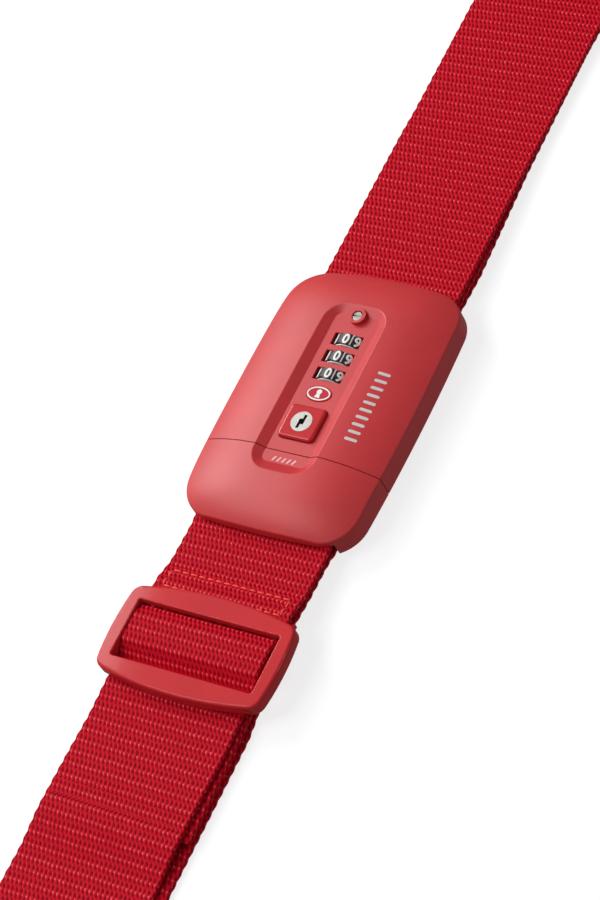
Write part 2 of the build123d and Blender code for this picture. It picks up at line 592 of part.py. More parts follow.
lower_path = [
    (KEY_Y - 0.15, LAYER_Z[0]),
    (FOLD_MID_Y - 0.8, LAYER_Z[0]),
    (FOLD_MID_Y - 0.8, LAYER_Z[1]),
    (KEY_Y - 150.0, LAYER_Z[1]),
    (KEY_Y - 138.0, LAYER_Z[2]),
    (KEY_Y - 106.0, LAYER_Z[2]),
    (KEY_Y - 94.0, 5.45),
    (KEY_Y - 86.9, 5.45),
    (KEY_Y - 80.9, 9.55),
    (KEY_Y - 73.2, 9.55),
    (KEY_Y - 68.7, 6.6),
    (KEY_Y - 70.2, 4.8),
    (KEY_Y - 78.0, 5.2),
    (KEY_Y - 86.0, 3.6),
    (KEY_Y - 93.0, 3.6),
    (KEY_Y - 106.0, LAYER_Z[1]),
    (KEY_Y - 134.5, LAYER_Z[1]),
]
lower_radii = [0.87, 0.87, 20, 20, 10, 6, 2, 2, 2.5, 1.2, 1.0, 3, 3, 10, 20]
write(webbing_band(lower_path, lower_radii), "webbing_lower")
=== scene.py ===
import math

import bmesh
import bpy
import numpy as np
from mathutils import Matrix, Vector
from mathutils.bvhtree import BVHTree


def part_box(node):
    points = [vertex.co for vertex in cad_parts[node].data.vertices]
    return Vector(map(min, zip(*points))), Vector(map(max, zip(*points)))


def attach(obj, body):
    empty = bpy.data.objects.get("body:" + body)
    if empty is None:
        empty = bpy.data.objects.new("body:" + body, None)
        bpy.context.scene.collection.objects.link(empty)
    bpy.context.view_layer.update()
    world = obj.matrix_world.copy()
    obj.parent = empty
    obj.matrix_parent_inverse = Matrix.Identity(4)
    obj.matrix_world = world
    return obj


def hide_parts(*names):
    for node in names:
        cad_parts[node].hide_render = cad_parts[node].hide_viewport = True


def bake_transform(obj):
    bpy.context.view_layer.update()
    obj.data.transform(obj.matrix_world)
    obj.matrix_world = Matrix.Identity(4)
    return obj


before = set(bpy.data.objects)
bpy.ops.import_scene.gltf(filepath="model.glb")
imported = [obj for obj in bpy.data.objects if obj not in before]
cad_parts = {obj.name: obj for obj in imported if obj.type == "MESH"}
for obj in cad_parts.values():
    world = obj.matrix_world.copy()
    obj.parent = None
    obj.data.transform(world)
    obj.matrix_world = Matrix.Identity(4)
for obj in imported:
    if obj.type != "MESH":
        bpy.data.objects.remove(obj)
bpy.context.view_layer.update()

# Routes and details are laid out in millimetres, in the frame's own axes, and turned into metres when a mesh
# is made. Y runs along the strap, X across it and Z up.
MM = 0.001


def span(node):
    """A CAD node's lowest and highest corners, in millimetres."""
    low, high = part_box(node)
    return low / MM, high / MM


def middle(node):
    """The middle of a CAD node's box, in millimetres."""
    low, high = span(node)
    return (low + high) / 2


# ---- Sizes and places, from the frame ----
KEY_Y = middle("key_plug").y
WEB_HALF = span("webbing_upper")[1].x
WEB_THICK = span("webbing_return_upper")[1].z
LAYER_GAP = 0.15
LAYER = WEB_THICK + LAYER_GAP
LAYER_Z = [WEB_THICK / 2 + n * LAYER for n in range(3)]
MAIN_BAR = middle("strap_bar_main")
INSERT_BAR = middle("strap_bar_insert")
FOLD_Y = span("webbing_lower")[0].y
ROLL = middle("webbing_roll")
ROLL_RADIUS = ROLL.z

# ---- The weave: rows of slots and rows of small holes by turns, with slanted floats between them ----
COLUMNS = 31
COLUMN = 50 / COLUMNS  # one warp column, across the webbing
ROW = 3.85  # one repeat of the weave, along it: a row of slots and a row of holes
RELIEF = 0.2  # how far the slots lie below the floats
LEVEL, CROWN, SLOT, HOLE = 0.72, 0.22, 0.74, 0.68  # the face's height, and what each part adds or takes away
HOLE_AT = 0.19  # where the holes lie along the slant, in turns


class Signal:
    """A number that varies over a surface, worked out by a chain of Math nodes in a shader."""

    def __init__(self, tree, socket):
        self.tree = tree
        self.socket = socket

    def math(self, operation, *others):
        node = self.tree.nodes.new("ShaderNodeMath")
        node.operation = operation
        for place, item in enumerate((self, *others)):
            if isinstance(item, Signal):
                self.tree.links.new(item.socket, node.inputs[place])
            else:
                node.inputs[place].default_value = item
        return Signal(self.tree, node.outputs[0])

    def __add__(self, other):
        return self.math("ADD", other)

    def __sub__(self, other):
        return self.math("SUBTRACT", other)

    def __mul__(self, other):
        return self.math("MULTIPLY", other)

    __radd__ = __add__


def bumps(turns, sharpness):
    """Smooth bumps, 1 at every whole number of turns and 0 half way between, for arrays and for shaders."""
    if isinstance(turns, Signal):
        return ((turns * math.tau).math("COSINE") * 0.5 + 0.5).math("POWER", sharpness)
    return (np.cos(turns * math.tau) * 0.5 + 0.5) ** sharpness


def weave(across, along):
    """The height of the woven face, about 0 in its slots and 1 on its floats, from two lengths in mm."""
    row = along * (1 / ROW)
    slanted = across * (1 / COLUMN) + row
    crowns = bumps(row * 2 + 0.5, 1.0)
    slots = bumps(row, 1.5) * bumps(slanted + 0.5, 1.0)
    holes = bumps(row + 0.5, 1.5) * bumps(slanted - HOLE_AT, 1.0)
    return LEVEL + crowns * CROWN - slots * SLOT - holes * HOLE


def knuckles(across, along):
    """Painted highlights where the floats' lower ends turn up to the light, from two lengths in mm."""
    row = along * (1 / ROW)
    slanted = across * (1 / COLUMN) + row
    return bumps(row + 0.32, 5.0) * bumps(slanted + 0.34, 2.5)


# ---- Materials ----
def linear(red, green, blue):
    """An sRGB colour from 0 to 255 as the linear colour that a shader takes."""
    def channel(value):
        value /= 255
        return value / 12.92 if value <= 0.04045 else ((value + 0.055) / 1.055) ** 2.4
    return (channel(red), channel(green), channel(blue), 1.0)


def shader(name, settings):
    """A new material, its tree and its shader, with constant values set on the shader's own sockets."""
    material = bpy.data.materials.new(name)
    material.use_nodes = True
    tree = material.node_tree
    principled = tree.nodes["Principled BSDF"]
    for socket, value in settings.items():
        principled.inputs[socket].default_value = value
    return material, tree, principled


def noise(tree, scale, detail=2.0, stretch=(1, 1, 1)):
    """A noise pattern in object space; scale is in features per metre."""
    place = tree.nodes.new("ShaderNodeTexCoord")
    mapping = tree.nodes.new("ShaderNodeMapping")
    mapping.inputs["Scale"].default_value = stretch
    texture = tree.nodes.new("ShaderNodeTexNoise")
    texture.inputs["Scale"].default_value = scale
    texture.inputs["Detail"].default_value = detail
    tree.links.new(place.outputs["Object"], mapping.inputs["Vector"])
    tree.links.new(mapping.outputs["Vector"], texture.inputs["Vector"])
    return Signal(tree, texture.outputs["Fac"])


def ramp(tree, signal, stops):
    """A colour that follows signal through stops, a list of (position, colour)."""
    node = tree.nodes.new("ShaderNodeValToRGB")
    band = node.color_ramp
    band.elements[0].position, band.elements[0].color = stops[0]
    band.elements[1].position, band.elements[1].color = stops[-1]
    for position, color in stops[1:-1]:
        band.elements.new(position).color = color
    tree.links.new(signal.socket, node.inputs["Fac"])
    return node.outputs["Color"]


def bump(tree, principled, signal, depth):
    """Bump on the shader from signal, where 0 to 1 is depth in mm."""
    node = tree.nodes.new("ShaderNodeBump")
    node.inputs["Distance"].default_value = depth * MM
    tree.links.new(signal.socket, node.inputs["Height"])
    tree.links.new(node.outputs["Normal"], principled.inputs["Normal"])


GRAIN_SCALE, DRIFT_SCALE, MARK_SCALE = 3000, 60, 1800  # of plastic's grain and tint and metal's marks
PLASTIC_SWING, METAL_SWING = 0.12, 0.2  # how far the roughness varies


def moulded(name, color, roughness, grain=0.02, spread=0.06, coat=0.0, specular=0.5):
    """Moulded plastic: a fine spark-eroded grain, a faint drift of colour and worn-in roughness."""
    material, tree, principled = shader(name, {"Specular IOR Level": specular, "Coat Weight": coat,
                                               "Coat Roughness": 0.06})
    fine = noise(tree, GRAIN_SCALE, 3.0)
    broad = noise(tree, DRIFT_SCALE, 2.0)
    tint = fine * 0.6 + broad * 0.4
    dark = tuple(part * (1 - spread * 2) for part in color[:3]) + (1.0,)
    light = tuple(min(1.0, part * (1 + spread * 2)) for part in color[:3]) + (1.0,)
    tree.links.new(ramp(tree, tint, [(0.3, dark), (0.7, light)]), principled.inputs["Base Color"])
    rough = fine * PLASTIC_SWING + (roughness - PLASTIC_SWING / 2)
    tree.links.new(rough.socket, principled.inputs["Roughness"])
    bump(tree, principled, fine, grain)
    return material


def metal(name, color, roughness, stretch=(1, 1, 1), scratch=0.01):
    """Plated or drawn metal, with fine marks drawn out along the direction that stretch leaves small."""
    material, tree, principled = shader(name, {"Metallic": 1.0})
    marks = noise(tree, MARK_SCALE, 4.0, stretch)
    dark = tuple(part * 0.8 for part in color[:3]) + (1.0,)
    tree.links.new(ramp(tree, marks, [(0.3, dark), (0.7, color)]), principled.inputs["Base Color"])
    rough = marks * METAL_SWING + (roughness - METAL_SWING / 2)
    tree.links.new(rough.socket, principled.inputs["Roughness"])
    bump(tree, principled, marks, scratch)
    return material


# the webbing's red, from painted shade at the bottom of a slot to a painted highlight on a lit float
WEB_TONES = [(0.0, linear(118, 0, 16)), (0.3, linear(162, 0, 24)), (0.58, linear(195, 2, 30)),
             (0.75, linear(208, 20, 40)), (1.0, linear(234, 96, 104))]
WEAVE_BUMP = 0.3  # in mm, a little deeper than the mesh's own relief
WANDER = (0.5, 0.6)  # how far the weave wanders, across and along, in mm
YARNS = (5.2, 2.4)  # the yarns within a float, in turns per mm across and along
YARN_SHARE = 0.05  # of the tone and of the height


def woven(name):
    """Ribbed polyester webbing, with the weave laid out by the weave function on the strip's own UV map."""
    material, tree, principled = shader(name, {"Specular IOR Level": 0.06})
    layout = tree.nodes.new("ShaderNodeUVMap")
    layout.uv_map = "weave"
    parts = tree.nodes.new("ShaderNodeSeparateXYZ")
    tree.links.new(layout.outputs["UV"], parts.inputs["Vector"])
    wander = noise(tree, 260, 2.0)
    across = Signal(tree, parts.outputs["X"]) + wander * WANDER[0]
    along = Signal(tree, parts.outputs["Y"]) + wander * WANDER[1]
    height = weave(across, along)
    painted_highlight = knuckles(across, along)
    yarns = bumps(across * YARNS[0] + along * YARNS[1], 1.0) * YARN_SHARE
    uneven = noise(tree, 520, 1.0) * 0.3 - 0.15
    # painted shade darkens the tone where the face is low, in the slots and holes, and painted highlights
    # lighten the floats' ends
    tone = height * 0.8 + painted_highlight * (uneven * 1.6 + 0.32) + yarns + uneven * 0.5
    tree.links.new(ramp(tree, tone, WEB_TONES), principled.inputs["Base Color"])
    rough = height * -0.12 + 0.6
    tree.links.new(rough.socket, principled.inputs["Roughness"])
    bump(tree, principled, height + yarns, WEAVE_BUMP)
    return material


red_plastic = moulded("red_plastic", linear(198, 46, 50), 0.47, grain=0.03)
inner_plastic = moulded("inner_plastic", linear(150, 34, 38), 0.5)
slider_plastic = moulded("slider_plastic", linear(196, 38, 44), 0.5, grain=0.012, coat=0.3, specular=0.1)
button_plastic = moulded("button_plastic", linear(196, 38, 44), 0.45, grain=0.002, coat=0.7, specular=0.1)
badge_plastic = moulded("badge_plastic", linear(186, 26, 44), 0.4, grain=0.004, specular=0.2)
dial_plastic = moulded("dial_plastic", linear(30, 29, 31), 0.4, grain=0.01)
pale_plastic = moulded("pale_plastic", linear(214, 206, 204), 0.45)
bright_steel = metal("bright_steel", linear(176, 172, 164), 0.34)
plated_steel = metal("plated_steel", linear(190, 190, 192), 0.35, (1, 0.05, 1))
key_steel = metal("key_steel", linear(168, 166, 160), 0.42, (0.15, 1, 1), 0.004)
cast_zinc = metal("cast_zinc", linear(160, 160, 162), 0.5)
white_print = moulded("white_print", linear(236, 234, 230), 0.5, grain=0.004)
grey_print = moulded("grey_print", linear(206, 200, 198), 0.5, grain=0.004)
rose_print = moulded("rose_print", linear(236, 196, 200), 0.5, grain=0.004)
orange_thread = moulded("orange_thread", linear(246, 72, 50), 0.55, grain=0.03)
red_thread = moulded("red_thread", linear(192, 16, 38), 0.6, grain=0.03, specular=0.1)
webbing_cloth = woven("webbing_cloth")

FINISHES = {
    "lock_cover": red_plastic, "insert_cover": red_plastic, "lock_base": inner_plastic,
    "insert_base": inner_plastic, "insert_tongue": inner_plastic, "slider_frame": slider_plastic,
    "push_button": button_plastic, "emblem_badge": badge_plastic, "base_screws": plated_steel,
    "insert_screws": plated_steel, "strap_bar_main": plated_steel, "strap_bar_insert": plated_steel,
    "dial_spindle": bright_steel, "detent_spring": plated_steel, "button_springs": plated_steel,
    "reset_screw": bright_steel, "key_cylinder_case": cast_zinc, "key_plug": key_steel, "key_cam": cast_zinc,
    "release_plate": plated_steel, "latch_left": plated_steel, "latch_right": plated_steel,
    "dial_1": dial_plastic, "dial_2": dial_plastic, "dial_3": dial_plastic,
    "dial_sleeve_1": pale_plastic, "dial_sleeve_2": pale_plastic, "dial_sleeve_3": pale_plastic,
}
for node, finish in FINISHES.items():
    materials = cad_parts[node].data.materials
    materials.clear()
    materials.append(finish)


# ---- Lines that the webbing follows, in (y, z) ----
ARC_STEP = 0.1  # between points on a corner's arc, in radians


def rounded(route, radii):
    """A dense line through route, a list of (y, z), with each corner rounded to its radius."""
    route = [Vector(point) for point in route]
    line = [route[0]]
    for before, corner, after, radius in zip(route, route[1:], route[2:], radii):
        back = (before - corner).normalized()
        on = (after - corner).normalized()
        half = back.angle(on) / 2
        centre = corner + (back + on).normalized() * (radius / math.sin(half))
        start = corner + back * (radius / math.tan(half)) - centre
        end = corner + on * (radius / math.tan(half)) - centre
        turn = math.pi - 2 * half
        steps = max(2, math.ceil(turn / ARC_STEP))
        for step in range(steps + 1):
            share = step / steps
            mix = start * math.sin((1 - share) * turn) + end * math.sin(share * turn)
            line.append(centre + mix / math.sin(turn))
    line.append(route[-1])
    return line


TURN_STEPS = 90  # points along each turn of the roll
FOLD_STEPS = 16  # and round the fold at its core


def wound(radius, turns):
    """A layer of the roll: it leaves the ground at radius and winds inwards, two layers closer each turn."""
    line = []
    for step in range(math.ceil(turns * TURN_STEPS)):
        angle = math.tau * step / TURN_STEPS
        inwards = 2 * LAYER * (angle - (1 - math.exp(-2 * angle)) / 2) / math.tau
        reach = radius - inwards
        line.append(Vector((ROLL.y + reach * math.sin(angle), ROLL.z - reach * math.cos(angle))))
    return line


def turned_back(inner, outer, along):
    """The tight fold at the core of the roll, from the end of one layer to the end of the other."""
    centre = (inner + outer) / 2
    across = inner - centre
    ahead = along * across.length
    return [centre + across * math.cos(a) + ahead * math.sin(a) for a in np.linspace(0, math.pi, FOLD_STEPS)]


def from_key(*route):
    """A route whose y is counted from the key's axis."""
    return [(KEY_Y + y, z) for y, z in route]


def from_bar(bar, *route):
    """A route whose y is counted from the middle of a strap bar."""
    return [(bar.y + y, z) for y, z in route]


ROLL_TURNS = 5.3  # of the double layer, from the outside to the core
LOOP_Y = 2.2 + WEB_THICK / 2  # how far the webbing's middle goes past the middle of a strap bar
LOOP_Z = (3.4, 6.8)  # where it passes under the bar and over it
top_route = from_bar(MAIN_BAR, (33, 3.3), (9, 4.45), (3.5, LOOP_Z[0]))
top_route += from_bar(MAIN_BAR, (-LOOP_Y, LOOP_Z[0]), (-LOOP_Y, LOOP_Z[1]))
top_route += from_bar(MAIN_BAR, (3.5, LOOP_Z[1]), (9, 6.1), (33, 4.9), (79, LAYER_Z[1]))
top_route.append((ROLL.y, LAYER_Z[1]))
top_line = rounded(top_route, [10, 6, 1.6, 1.6, 6, 15, 40, 60])
inner_wind = wound(ROLL_RADIUS - LAYER_Z[1], ROLL_TURNS)
outer_wind = wound(ROLL_RADIUS - LAYER_Z[0], ROLL_TURNS)
core_fold = turned_back(inner_wind[-1], outer_wind[-1], (inner_wind[-1] - inner_wind[-2]).normalized())

FOLD_LINE_Y = FOLD_Y + WEB_THICK / 2
lower_route = [(ROLL.y, LAYER_Z[0]), (FOLD_LINE_Y, LAYER_Z[0]), (FOLD_LINE_Y, LAYER_Z[1])]
lower_route += from_key((-150, LAYER_Z[1]), (-138, LAYER_Z[2]), (-106, LAYER_Z[2]))
# up over the slider's centre bar, and back under it
lower_route += from_key((-94, 5.45), (-86.9, 5.45), (-80.9, 9.55), (-72.5, 9.65), (-68.95, 8.3))
lower_route += from_key((-69.4, 4.85), (-78, 5.2), (-86, 3.6), (-93, 3.6))
lower_route += from_key((-106, LAYER_Z[1]), (-134.5, LAYER_Z[1]))
lower_line = rounded(lower_route, [0.87, 0.87, 20, 20, 10, 6, 2, 2, 2.5, 1.2, 1.0, 3, 3, 10, 20])

tab_route = from_bar(INSERT_BAR, (-13, 4.62), (-22, 4.8), (-29.5, 5.5), (-35.3, 5.5), (-35.3, 8.7))
tab_route += from_bar(INSERT_BAR, (-29.5, 8.7), (-22, 6.5), (-8, 6.1), (-3.5, LOOP_Z[1]))
tab_route += from_bar(INSERT_BAR, (LOOP_Y, LOOP_Z[1]), (LOOP_Y, LOOP_Z[0]), (-3.5, LOOP_Z[0]))
tab_route += from_bar(INSERT_BAR, (-8, 4.4), (-12.6, 4.6))
tab_line = rounded(tab_route, [20, 8, 1.55, 1.55, 6, 10, 15, 6, 1.6, 1.6, 5, 5])


# ---- Strips of webbing ----
SIDE_STEPS = 5  # points round a strip's edge
BACK_STEPS = 12  # and across its back
SELVEDGE = 0.35  # how far the edge yarns stand out between their dips
EDGE_ROUND = 0.3  # radius of a strip's edges
PLAIN_EDGE = 0.2  # no relief this close to an edge
SIDE_SHY = 0.02  # the rounded edge stays this far inside the webbing's faces
BACK_SHY = 0.03  # and its plain back this far


def lengths(line):
    """The distance along line at each of its points."""
    steps = [0.0] + [(b - a).length for a, b in zip(line, line[1:])]
    return np.cumsum(steps)


def stations(stretches):
    """Distances along a strip, from (from, to, step) stretches that follow each other."""
    parts = [np.linspace(a, b, max(2, round((b - a) / step) + 1))[:-1] for a, b, step in stretches]
    return np.append(np.concatenate(parts), stretches[-1][1])


def strip(name, line, stretches, first=0.0, per_column=4, relief=RELIEF, drift=None):
    """A closed strip of webbing along line, with its woven face on the left of the line's direction.

    Its weave starts at the distance first, so that strips cut from one webbing carry on from each other.
    drift is two lists: distances, and how far towards +X the strip lies there.
    """
    gone = lengths(line)
    at = stations(stretches)
    y = np.interp(at, gone, [point.x for point in line])
    z = np.interp(at, gone, [point.y for point in line])
    slope_y, slope_z = np.gradient(y, at), np.gradient(z, at)
    size = np.hypot(slope_y, slope_z)
    left_y, left_z = -slope_z / size, slope_y / size
    along = (at + first)[:, None]

    columns = round(2 * WEB_HALF / COLUMN) * per_column
    across = np.linspace(-WEB_HALF, WEB_HALF, columns + 1)[None, :]
    height = weave(across, along)
    inset = SELVEDGE * (1 - bumps(along / ROW, 0.7))
    edge = WEB_HALF - inset
    face_x = across * (edge - EDGE_ROUND) / WEB_HALF
    woven_part = np.abs(across) < WEB_HALF - PLAIN_EDGE
    face_rise = WEB_THICK / 2 - relief * (1 - np.clip(height, 0, 1)) * woven_part

    turn = np.linspace(math.pi / 2, -math.pi / 2, SIDE_STEPS + 2)[None, 1:-1]
    side_x = edge - EDGE_ROUND + EDGE_ROUND * np.cos(turn)
    side_rise = (WEB_THICK / 2 - SIDE_SHY) * np.sin(turn) * np.ones_like(along)
    back_x = np.linspace(1, -1, BACK_STEPS)[None, :] * (edge - EDGE_ROUND)
    back_rise = np.full_like(back_x, BACK_SHY - WEB_THICK / 2)
    ring_x = np.hstack([face_x, side_x, back_x, -side_x[:, ::-1]])
    ring_rise = np.hstack([face_rise, side_rise, back_rise, side_rise[:, ::-1]])
    sideways = 0 if drift is None else np.interp(at, *drift)[:, None]
    points = np.stack([ring_x + sideways, y[:, None] + left_y[:, None] * ring_rise,
                       z[:, None] + left_z[:, None] * ring_rise], axis=2) * MM

    rings, ring = points.shape[:2]
    index = np.arange(rings * ring).reshape(rings, ring)
    ahead = np.roll(index, -1, axis=1)
    quads = np.stack([index[:-1], index[1:], ahead[1:], ahead[:-1]], axis=2).reshape(-1, 4)
    faces = quads.tolist() + [index[0].tolist(), index[-1, ::-1].tolist()]
    mesh = bpy.data.meshes.new(name)
    mesh.from_pydata(points.reshape(-1, 3).tolist(), [], faces)

    # the UV map is in mm: across the face, round the edge and over the back, and along the webbing
    side_u = WEB_HALF + WEB_THICK * np.arange(1, SIDE_STEPS + 1) / (SIDE_STEPS + 1)
    back_u = WEB_HALF + WEB_THICK + np.linspace(0, 2 * WEB_HALF, BACK_STEPS)
    ring_u = np.concatenate([across[0], side_u, back_u, side_u + 2 * WEB_HALF + WEB_THICK])
    ring_u = np.append(ring_u, 3 * WEB_HALF + 2 * WEB_THICK)
    u0 = np.broadcast_to(ring_u[:-1], (rings - 1, ring))
    u1 = np.broadcast_to(ring_u[1:], (rings - 1, ring))
    v0 = np.broadcast_to(along[:-1], (rings - 1, ring))
    v1 = np.broadcast_to(along[1:], (rings - 1, ring))
    corners = np.stack([u0, v0, u0, v1, u1, v1, u1, v0], axis=2).reshape(-1)
    caps = np.zeros(4 * ring)
    caps[0::2] = np.concatenate([ring_u[:-1], ring_u[-2::-1]])
    caps[1::2] = np.repeat([along[0, 0], along[-1, 0]], ring)
    layer = mesh.uv_layers.new(name="weave")
    layer.data.foreach_set("uv", np.concatenate([corners, caps]).astype(np.float32))
    smooth = np.ones(len(mesh.polygons), bool)
    smooth[-2:] = False
    mesh.polygons.foreach_set("use_smooth", smooth)
    ends = {*index[0].tolist(), *index[-1].tolist()}
    sharp = np.array([a in ends and b in ends for a, b in (side.vertices for side in mesh.edges)])
    mesh.attributes.new("sharp_edge", "BOOLEAN", "EDGE").data.foreach_set("value", sharp)
    mesh.update()
    return placed(name, mesh, webbing_cloth)


def placed(name, mesh, material):
    """A new object of mesh, in the scene, with one material."""
    piece = bpy.data.objects.new(name, mesh)
    bpy.context.scene.collection.objects.link(piece)
    mesh.materials.append(material)
    return piece


FINE = 0.5  # spacing of a strip's sections, in mm, where its weave is seen
PLAIN = 1.1  # and where it is under something
top_length = lengths(top_line)[-1]
roll_line = inner_wind + core_fold + outer_wind[::-1]
roll_length = lengths(roll_line)[-1]
lower_length = lengths(lower_line)[-1]
SEAM = ROLL.y - (KEY_Y - 120.0)  # along the return run, where its strip hands over to the lower one

# how far each run lies to the side, from its start
top_drift = ([0, 55, 110, 170, top_length], [0, -0.2, -2.0, -2.0, 0])
top_run = strip("webbing_top_run", top_line, [(0, 50, PLAIN), (50, top_length, FINE)], drift=top_drift)
outer_turn = roll_length - math.tau * ROLL_RADIUS  # where the outermost turn of the roll starts
rolled = strip("webbing_rolled_up", roll_line, [(0, outer_turn, 2.4), (outer_turn, roll_length, 1.0)],
               first=top_length, per_column=2, relief=0.06)
lower_first = top_length + roll_length
side_drift = ([0, 60, 110, 150, 245, 285, 320, 400, 440, 480, 505, 520, 540, 560, lower_length],
              [0, -3.2, -2.6, -0.8, -3.6, -3.6, 0.9, 1.2, -2.2, -1.8, -1.2, -0.8, -0.8, 0, 0.6])
return_run = strip("webbing_return_run", lower_line, [(0, SEAM, 0.9)], first=lower_first, drift=side_drift)
seen_from, seen_to = SEAM + 90, lower_length - 66  # the rest is under the slider or under another layer
lower_run = strip("webbing_lower_run", lower_line,
                  [(SEAM, seen_from, PLAIN), (seen_from, seen_to, FINE), (seen_to, lower_length, PLAIN)],
                  first=lower_first, drift=side_drift)
tab_length = lengths(tab_line)[-1]
tab = strip("tab_webbing", tab_line, [(0, tab_length, FINE)])

for piece, body, nodes in ((top_run, "lock_body", ["webbing_upper"]),
                           (rolled, "lock_body", ["webbing_roll"]),
                           (lower_run, "insert", ["webbing_lower"]),
                           (tab, "insert", ["buckle_tab"])):
    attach(piece, body)
    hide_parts(*nodes)
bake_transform(return_run)
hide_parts("webbing_return_upper")


# ---- Stitches ----
THREAD = 0.24  # radius of a stitch's thread, in mm
THREAD_FLAT = 1.25  # how much wider than high a thread is pulled
STITCH_RISE = 1.15  # how far a stitch arches up, in thread radii
STITCH_END = 0.55  # a thread's thickness where it dives into the webbing, as a share


def stitches(name, runs, height_at, material, share=0.8):
    """Thread stitches along runs of (start, end, count) in x and y, each one a short arched thread."""
    points, faces = [], []
    sections, sides = 9, 8
    for start, end, count in runs:
        start, end = Vector(start), Vector(end)
        step = (end - start) / count
        ahead = Vector((step.x, step.y, 0)).normalized()
        beside = Vector((-ahead.y, ahead.x, 0))
        for number in range(count):
            base = len(points)
            for section in range(sections):
                way = section / (sections - 1)
                flat = start + step * (number + 0.5 + (way - 0.5) * share)
                arch = math.sin(math.pi * way) ** 0.5
                rise = THREAD * (STITCH_RISE * arch - 1)
                centre = Vector((flat.x, flat.y, height_at(flat.y) + rise))
                radius = THREAD * (STITCH_END + (1 - STITCH_END) * arch)
                for side in range(sides):
                    angle = math.tau * side / sides
                    offset = beside * (THREAD_FLAT * math.cos(angle)) + Vector((0, 0, math.sin(angle)))
                    points.append((centre + offset * radius) * MM)
            for section in range(sections - 1):
                for side in range(sides):
                    a = base + section * sides + side
                    b = base + section * sides + (side + 1) % sides
                    faces.append((a, b, b + sides, a + sides))
            faces.append(tuple(base + side for side in range(sides))[::-1])
            faces.append(tuple(base + (sections - 1) * sides + side for side in range(sides)))
    mesh = bpy.data.meshes.new(name)
    mesh.from_pydata(points, [], faces)
    mesh.polygons.foreach_set("use_smooth", np.ones(len(faces), bool))
    return placed(name, mesh, material)


def top_of(line):
    """A function that gives the height of a strip's upper face at y, where its line is highest."""
    ys = np.array([point.x for point in line])
    zs = np.array([point.y for point in line])

    def height_at(y):
        best = 0.0
        for y0, y1, z0, z1 in zip(ys, ys[1:], zs, zs[1:]):
            if min(y0, y1) <= y <= max(y0, y1) and y0 != y1:
                best = max(best, z0 + (z1 - z0) * (y - y0) / (y1 - y0))
        return best + WEB_THICK / 2
    return height_at


BOX_X, BOX_HIGH_Y, BOX_LOW_Y = 21.4, KEY_Y - 55.0, KEY_Y - 61.2
ROW_STITCHES, SIDE_STITCHES = 14, 2
box_stitch = stitches("tab_box_stitch", [
    ((-BOX_X, BOX_HIGH_Y), (BOX_X, BOX_HIGH_Y), ROW_STITCHES),
    ((BOX_X, BOX_HIGH_Y), (BOX_X, BOX_LOW_Y), SIDE_STITCHES),
    ((BOX_X, BOX_LOW_Y), (-BOX_X, BOX_LOW_Y), ROW_STITCHES),
    ((-BOX_X, BOX_LOW_Y), (-BOX_X, BOX_HIGH_Y), SIDE_STITCHES),
], top_of(tab_line), orange_thread, share=0.86)
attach(box_stitch, "insert")
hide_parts("tab_stitching")

TAIL_X = (-25.4, 21.6)  # from edge to edge of the top layer, which lies a little to the left here
TAIL_ROWS = (KEY_Y - 127, KEY_Y - 132.4)
tail_stitch = stitches("tail_stitch", [((TAIL_X[0], y), (TAIL_X[1], y), 30) for y in TAIL_ROWS],
                       top_of(lower_line), red_thread, share=0.9)
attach(tail_stitch, "insert")


# ---- Numbers on the dials ----
DIGIT_HEIGHT = 3.6
DIGIT_WIDTH = 2.25
NARROW_ONE = 0.42  # the width of a 1, as a share of the other figures'
BOLDER = 0.034  # how far the figures' outlines are moved outwards, in text units
PRINT = 0.03  # how proud a print stands
SINK = 0.02  # and how far its underside is below the surface


def digit_mesh(figure):
    """A flat numeral as a mesh, centred on the origin and sized to DIGIT_WIDTH and DIGIT_HEIGHT in mm."""
    text = bpy.data.curves.new("figure", "FONT")
    text.body = str(figure)
    text.offset = BOLDER
    holder = bpy.data.objects.new("figure", text)
    bpy.context.scene.collection.objects.link(holder)
    bpy.context.view_layer.update()
    mesh = bpy.data.meshes.new_from_object(holder)
    bpy.data.objects.remove(holder)
    shape = bmesh.new()
    shape.from_mesh(mesh)
    bmesh.ops.remove_doubles(shape, verts=shape.verts, dist=1e-5)
    xs = [vertex.co.x for vertex in shape.verts]
    ys = [vertex.co.y for vertex in shape.verts]
    wide = DIGIT_WIDTH * (NARROW_ONE if figure == 1 else 1)
    for vertex in shape.verts:
        vertex.co.x = (vertex.co.x - (min(xs) + max(xs)) / 2) * wide / (max(xs) - min(xs))
        vertex.co.y = (vertex.co.y - (min(ys) + max(ys)) / 2) * DIGIT_HEIGHT / (max(ys) - min(ys))
    return shape


def cut(shape, axis, spacing, start, end):
    """Cuts a flat mesh along parallel lines, so that it can bend."""
    normal = Vector((1, 0, 0)) if axis == 0 else Vector((0, 1, 0))
    for place in np.arange(start, end, spacing):
        everything = shape.verts[:] + shape.edges[:] + shape.faces[:]
        bmesh.ops.bisect_plane(shape, geom=everything, plane_co=normal * place, plane_no=normal)


def thicken(shape, lift):
    """Gives a printed skin a little thickness, growing outwards from where it lies."""
    bmesh.ops.recalc_face_normals(shape, faces=shape.faces)
    grown = bmesh.ops.extrude_face_region(shape, geom=shape.faces[:])
    for item in grown["geom"]:
        if isinstance(item, bmesh.types.BMVert):
            item.co = lift(item.co)
    bmesh.ops.recalc_face_normals(shape, faces=shape.faces)


